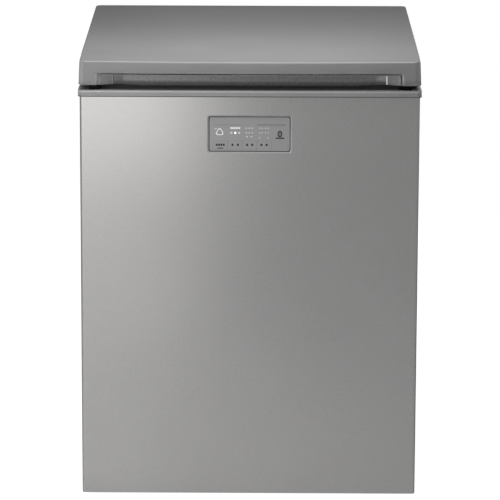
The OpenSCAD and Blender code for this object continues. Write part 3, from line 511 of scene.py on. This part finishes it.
def lid_stations():
    """Places along the lid's width, closer together where its shape turns."""
    closest = 0.25 * MM
    straight = Lid.half - Lid.corner_r
    edge = Lid.half - Lid.edge_r
    places = [straight + Lid.corner_r * math.sin(math.radians(a)) for a in range(0, 91, 9)]
    places += [edge + Lid.edge_r * math.sin(math.radians(a)) for a in range(0, 91, 15)]
    places += [Lid.recess_outer + k * 2 * MM for k in range(-28, 5)]
    places += [straight * k / 14 for k in range(12)]
    places = sorted(round(place, 6) for place in places)
    kept = [places[0]]
    for place in places[1:]:
        if place - kept[-1] > closest:
            kept.append(place)
    kept[-1] = Lid.half
    return [-x for x in reversed(kept[1:])] + kept


def lid_section(x):
    """One section of the lid's skin, from the recess's foot over the top to the rear edge."""
    front = lid_front(x)
    back = Lid.rear - drawn_back(x, Lid.corner_r)
    drop = drawn_back(x, Lid.edge_r)
    lip_z = Lid.bottom + Lid.lip_up
    wall = max(front, Lid.corner_y + recess_depth(x))
    lip_r = min(Lid.lip_r, wall - front)
    points = [(wall, Lid.bottom), (wall, (Lid.bottom + lip_z) / 2), (wall, lip_z)]
    if lip_r > 0:
        points += arc(front + lip_r, lip_z + lip_r, lip_r, 270, 180, 4)
    else:
        points += [(front, lip_z + Lid.lip_r * k / 3) for k in range(4)]
    edge = front + Lid.edge_r
    points += arc(edge, lid_top(edge) - drop - Lid.edge_r, Lid.edge_r, 180, 96, 7)
    crease_y = Lid.corner_y + Lid.crease_back
    last_y = Lid.rear - 20 * MM
    rows = [Lid.corner_y + d * MM for d in (20, 40, 60)]
    rows += [crease_y + d * MM for d in (-16, -10, -6, -3, 0, 3, 6, 10, 16, 28)]
    rows += [crease_y + (last_y - crease_y) * k / 8 for k in range(1, 9)]
    points += [(y, lid_top(y) - drop) for y in rows]
    edge = back - Lid.edge_r
    points += arc(edge, lid_top(edge) - drop - Lid.edge_r, Lid.edge_r, 92, 0, 7)
    points += [(back, (Lid.bottom + Lid.high.z) / 2), (back, Lid.bottom)]
    return points


def make_lid_skin():
    """The lid's outer shell, closer to the real one than its CAD solid: rounded edges, bow, crease."""
    stations = lid_stations()
    rise = Lid.high.z - Lid.bottom
    points = []
    for x in stations:
        for y, z in lid_section(x):
            up = (z - Lid.bottom) / rise
            points.append((x * (1 - Lid.lean / Lid.half * up), y, z))
    rows, columns = len(stations), len(points) // len(stations)
    faces = grid_faces(rows, columns) + end_faces(rows, columns)
    skin = make_piece("lid_skin", points, faces, "lid shell", "lid", ("lid_outer",))
    paint_edge_highlight(skin)
    thicken(skin, Lid.wall)


def paint_edge_highlight(skin):
    """Paints a highlight on the lid's rounded front edges: faces turned up and forward along the top
    edge, and faces turned forward and aside at the corners, take a lighter, glossier finish.
    """
    level, forward, front, aside = 0.3, 0.25, 0.45, 0.85
    skin.data.materials.append(MATERIALS["lid painted edge highlight"])
    for face in skin.data.polygons:
        n = face.normal
        along_top = n.z > level and n.y < -forward
        at_corner = n.y < -front and level < abs(n.x) < aside and abs(n.z) < level
        if along_top or at_corner:
            face.material_index = 1


def make_recess_lining():
    """The glossy lining of the handle recess: its ceiling, back and ramped ends."""
    gap = 2 * MM
    thickness = 1.2 * MM
    inset = 0.5 * MM
    foot_up, foot_drop, drop_width = 0.4 * MM, 3.4 * MM, 60 * MM
    largest_bend, bend_share = 3 * MM, 0.6
    top = Lid.bottom + Lid.lip_up - gap
    points = []
    rows = 0
    for x in lid_stations():
        back = Lid.corner_y + recess_depth(x) - gap
        if back <= lid_front(x) + thickness:
            continue
        front = lid_front(x) + inset
        bend = min(largest_bend, (back - front) * bend_share)
        section = [(front, top), ((front + back - bend) / 2, top)]
        section += arc(back - bend, top - bend, bend, 90, 0, 6)
        inward = min(max((Lid.ramp_end - abs(x)) / drop_width, 0.0), 1.0)
        foot = Lid.bottom + foot_up - foot_drop * inward
        section += [(back, (foot + top) / 2), (back, foot)]
        points += [(x, y, z) for y, z in section]
        rows += 1
    lining = make_piece("recess_lining", points, grid_faces(rows, len(points) // rows),
                        "recess lining", "lid", ("handle_insert",),
                        joined=False, smooth=50.0)
    lining.data.materials.append(MATERIALS["lid shell"])
    for face in lining.data.polygons:
        if abs(face.center.x) > Lid.ramp_end:
            face.material_index = 1
    thicken(lining, thickness, offset=1.0)


def make_recess_ribs():
    """Slim upright ribs where the recess's ramped ends meet its deeper part."""
    radius = 1.9 * MM
    forward = 2 * MM
    low = Lid.bottom + 0.8 * MM
    high = Lid.bottom + Lid.lip_up - 2.4 * MM
    # The left rib takes the duller lining finish, so its glint is painted weaker than the right rib's.
    ribs = (("recess_rib_left", -1, "recess lining"), ("recess_rib_right", 1, "recess rib"))
    for name, side, material in ribs:
        x = side * Lid.ramp_end
        y = Lid.corner_y + recess_depth(x) - forward
        outline = arc(x, y, radius, 180, 360, 9)
        loops = [[(u, v, z) for u, v in outline] for z in (low, high)]
        make_solid(name, loops, material, "lid")


def make_liner_skirt():
    """A dark trim round the lid liner's edge, with a lip under it."""
    low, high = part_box("lid_liner")
    middle = (low + high) / 2
    outer, inner, lip = 0.5 * MM, 0.1 * MM, -1.2 * MM
    top, under, foot = Lid.bottom + 0.3 * MM, low.z - 0.05 * MM, low.z - 0.4 * MM
    profile = ((outer, foot), (outer, top), (inner, top), (inner, under), (lip, under), (lip, foot))
    loops = []
    for out, z in profile:
        outline = rounded(high.x - middle.x + out, high.y - middle.y + out, Lid.corner_r + out, steps=8)
        loops.append([(middle.x + u, middle.y + v, z) for u, v in outline])
    make_solid("liner_skirt", loops, "gasket", "lid", looped=True)


def make_lid_sole():
    """The underside of the lid's shell between its front edge, the recess and the liner."""
    low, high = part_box("lid_liner")
    from_edge, from_recess, from_liner = 0.3 * MM, 0.2 * MM, 0.1 * MM
    bottom, top = Lid.bottom + 0.2 * MM, Lid.bottom + 1.4 * MM
    loops = []
    for x in lid_stations():
        if abs(x) >= Lid.half - from_edge:
            continue
        front = max(lid_front(x) + from_edge, Lid.corner_y + recess_depth(x) + from_recess)
        back = low.y + drawn_back(x, Lid.corner_r, high.x) - from_liner
        loops.append([(x, front, bottom), (x, back, bottom), (x, back, top), (x, front, top)])
    make_solid("lid_sole", loops, "lid shell", "lid")


# ---------------------------------------------------------------- trim

def make_ring(name, inner, outer, depths, place, material):
    """A closed strip between two outlines and two depths; place turns (u, v, depth) into a point."""
    first, second = depths
    rows = ((inner, first), (outer, first), (outer, second), (inner, second))
    loops = [[place(u, v, w) for u, v in outline] for outline, w in rows]
    make_solid(name, loops, material, "cabinet", looped=True)


def make_band_lines():
    """A painted highlight ring along the top frame's upper edge, and a painted shadow ring along its
    lower one.
    """
    low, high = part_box("top_frame")
    middle = (low + high) / 2
    half_u, half_v = (high.x - low.x) / 2, (high.y - low.y) / 2
    corner, sunk, proud, tighter = 9 * MM, 0.4 * MM, 0.01 * MM, 0.3 * MM
    # The upper ring paints the highlight of the frame's top edge.
    highlight = (high.z - 4.0 * MM, high.z - 1.6 * MM)
    # The lower ring paints the shadow line under the frame.
    shadow_line = (low.z + 0.1 * MM, low.z + 1.7 * MM)
    inner = rounded(half_u - sunk, half_v - sunk, corner - sunk, steps=12)
    outer = rounded(half_u + proud, half_v + proud, corner - tighter, steps=12)

    def place(u, v, w):
        return (middle.x + u, middle.y + v, w)

    make_ring("band_highlight", inner, outer, highlight, place, "band highlight")
    make_ring("band_painted_shadow", inner, outer, shadow_line, place, "band painted shadow")


def make_corner_strips():
    """Dark strips over the front sheet's rounded corners where it turns round to the sides: painted
    shade in place of the dark reflection in the roundings.
    """
    low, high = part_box("front_panel")
    band_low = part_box("top_frame")[0]
    bend, proud, sunk, reach = 6 * MM, 0.05 * MM, 0.1 * MM, 4 * MM
    bottom, top = low.z + 2 * MM, band_low.z - 0.1 * MM
    for name, side in (("corner_strip_left", -1), ("corner_strip_right", 1)):
        outline = arc(high.x - bend, low.y + bend, bend + proud, -42, 0, 6)
        outline += [(high.x + proud, low.y + bend + reach)]
        outline += [(u - sunk, v + sunk) for u, v in reversed(outline)]
        loops = [[(side * u, v, z) for u, v in outline] for z in (bottom, top)]
        make_solid(name, loops, "corner painted shade", "cabinet")


def make_corner_stops():
    """Rubber stops on the frame's deck, under the lid's front corners."""
    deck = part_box("top_frame")[1].z
    half_u, half_v, turn = 11 * MM, 7 * MM, 3 * MM
    aside, y = 300 * MM, Lid.corner_y + 15 * MM
    bottom, top = deck - 0.5 * MM, deck + 8 * MM
    outline = rounded(half_u, half_v, turn, steps=4)
    for name, x in (("corner_stop_left", -aside), ("corner_stop_right", aside)):
        loops = [[(x + u, y + v, z) for u, v in outline] for z in (bottom, top)]
        make_solid(name, loops, "trim black", "cabinet")


def make_side_seals():
    """The black seals that show under the top frame along both sides."""
    low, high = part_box("side_panels")
    band_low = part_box("top_frame")[0]
    drop, thick, bevel = 6.6 * MM, 1.7 * MM, 0.5 * MM
    front, back = low.y + 14 * MM, high.y - 8 * MM
    outline = [(0, 0), (thick - bevel, 0), (thick, -bevel), (thick, -drop + bevel),
               (thick - bevel, -drop), (0, -drop)]
    for name, side in (("side_seal_left", -1), ("side_seal_right", 1)):
        loops = [[(side * (high.x + u), y, band_low.z + w) for u, w in outline] for y in (front, back)]
        make_solid(name, loops, "trim black", "cabinet")


# ---------------------------------------------------------------- control panel

class Panel:
    """The panel's face, and the size on it of one pixel of the photograph."""
    low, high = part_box("panel_overlay")
    face = low.y
    middle = (low + high) / 2
    pixel = 1.957 * MM
    middle_px = (249.9, 134.25)


def on_panel(px, py):
    """Place on the panel's face of a pixel of the photograph."""
    return (Panel.middle.x + (px - Panel.middle_px[0]) * Panel.pixel,
            Panel.middle.z - (py - Panel.middle_px[1]) * Panel.pixel)


def pill(px, py, width, height, roundness=1.0):
    """A mark with round ends, sized in pixels of the photograph."""
    x, z = on_panel(px, py)
    half_u, half_v = width * Panel.pixel / 2, height * Panel.pixel / 2
    outline = rounded(half_u, half_v, min(half_u, half_v) * roundness, steps=4)
    return [[(x + u, z + v) for u, v in outline]]


def disc(px, py, width):
    """A round mark, sized in pixels of the photograph."""
    x, z = on_panel(px, py)
    sides = 18
    return [arc(x, z, width * Panel.pixel / 2, 0, 360 - 360 / sides, sides)]


def lobed_ring(px, py, radius, wall, lobes=3):
    """A closed line with round lobes, as an outer and an inner outline."""
    x, z = on_panel(px, py)
    steps, bulge = 72, 0.16

    def loop(r):
        points = []
        for k in range(steps):
            turn = 2 * math.pi * k / steps
            reach = r * (1 + bulge * math.cos(lobes * turn))
            points.append((x - reach * math.sin(turn), z + reach * math.cos(turn)))
        return points

    return [loop(radius * Panel.pixel), loop((radius - wall) * Panel.pixel)]


def make_marks(name, shapes, material, body="cabinet"):
    """Thin raised marks on the panel's face: filled outlines, or rings of two outlines."""
    sunk, proud = 0.02 * MM, 0.12 * MM
    back, front = Panel.face + sunk, Panel.face - proud
    points, faces = [], []
    for shape in shapes:
        loops = []
        for outline in shape:
            start = len(points)
            points += [(x, front, z) for x, z in outline]
            points += [(x, back, z) for x, z in outline]
            loops.append((start, len(outline)))
        for number, (start, count) in enumerate(loops):
            for k in range(count):
                a, b = start + k, start + (k + 1) % count
                side = (a, b, b + count, a + count)
                faces.append(side if number == 0 else side[::-1])
        start, count = loops[0]
        if len(loops) == 1:
            faces.append(tuple(start + k for k in reversed(range(count))))
        else:
            inside = loops[1][0]
            for k in range(count):
                beside = (k + 1) % count
                faces.append((start + k, inside + k, inside + beside, start + beside))
    make_piece(name, points, faces, material, body)


def row(first, last, count, py, width, height):
    """Equal marks side by side, sized in pixels of the photograph."""
    step = (last - first) / (count - 1)
    return [pill(first + step * k, py, width, height) for k in range(count)]


def make_panel_seams():
    """The fine dark joints round each key, and a dark joint round the panel's face, drawn wide inwards
    so that it also paints the shade in the rim's recess.
    """
    proud, sunk = 0.06 * MM, 0.04 * MM

    def seam(name, box, inwards, outwards, radius, material):
        start, end = box
        x, z = (start.x + end.x) / 2, (start.z + end.z) / 2
        half_u, half_v = (end.x - start.x) / 2, (end.z - start.z) / 2
        inner = rounded(half_u - inwards, half_v - inwards, radius)
        outer = rounded(half_u + outwards, half_v + outwards, radius)

        def place(u, v, w):
            return (x + u, w, z + v)

        make_ring(name, inner, outer, (Panel.face - proud, Panel.face + sunk), place,
                  material)

    # The ring round the face is a dark joint, widened inwards as painted shade of the recessed rim.
    seam("panel_seam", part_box("panel_overlay"), 1.3 * MM, 0.1 * MM, 3 * MM, "trim black")
    for number in range(1, 5):
        seam(f"key_seam_{number}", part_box(f"key_{number}"), -0.03 * MM, 0.42 * MM, 0.3 * MM,
             "mark line")


def make_panel_marks():
    """Plain marks and lamps in the rows of the panel, and plain marks on its keys."""
    make_marks("panel_marks_white", row(231.6, 240.0, 6, 128.2, 1.1, 2.0), "mark white")
    pale = row(246.6, 252.4, 3, 128.3, 1.6, 1.3)
    pale += row(246.6, 252.4, 3, 133.0, 1.6, 1.1)
    pale += row(247.4, 251.6, 2, 136.8, 2.0, 1.1)
    for py, height in ((128.3, 1.3), (133.0, 1.2)):
        for first, last in ((259.8, 262.2), (265.6, 268.2)):
            pale += row(first, last, 2, py, 1.2, height)
    pale += [disc(259.8, 138.0, 1.2), disc(268.0, 138.0, 1.2)]
    pale += [pill(216.5, 129.0, 2.2, 1.0)]
    make_marks("panel_marks_pale", pale, "mark pale")
    make_marks("panel_symbol", [lobed_ring(220.3, 132.4, 3.3, 0.7)], "mark white")
    lines = [pill(227.2, 125.0, 27.0, 0.35), pill(271.5, 125.0, 29.0, 0.8)]
    make_marks("panel_lines", lines, "mark line")
    lamps = [pill(px, 133.0, 2.0, 2.0, roundness=0.4) for px in (231.8, 239.6)]
    make_marks("panel_lamps", lamps, "lamp off")
    make_marks("panel_lamp_lit", [disc(235.7, 133.0, 2.2)], "lamp lit")
    dark = [lobed_ring(279.8, 134.0, 2.7, 1.2, lobes=2), disc(279.8, 134.0, 1.6),
            pill(280.0, 138.2, 8.6, 1.3)]
    make_marks("panel_marks_dark", dark, "mark dark")
    key_rows = (
        row(217.4, 224.4, 4, 145.0, 1.9, 2.4) + [pill(221.1, 148.4, 6.0, 0.9)],
        row(233.0, 238.3, 2, 145.0, 2.1, 2.4),
        row(247.5, 252.5, 2, 145.0, 2.1, 2.4),
        row(261.6, 266.8, 2, 145.0, 2.2, 2.4),
    )
    for number, shapes in enumerate(key_rows, 1):
        make_marks(f"key_{number}_mark", shapes, "mark dark", f"key_{number}")


make_camera()
make_world()
make_floor()
for lamp in LAMPS:
    make_softbox(*lamp)
make_materials()
dress_nodes()
make_lid_skin()
make_recess_lining()
make_recess_ribs()
make_liner_skirt()
make_lid_sole()
make_corner_strips()
make_corner_stops()
make_side_seals()
make_band_lines()
make_panel_seams()
make_panel_marks()
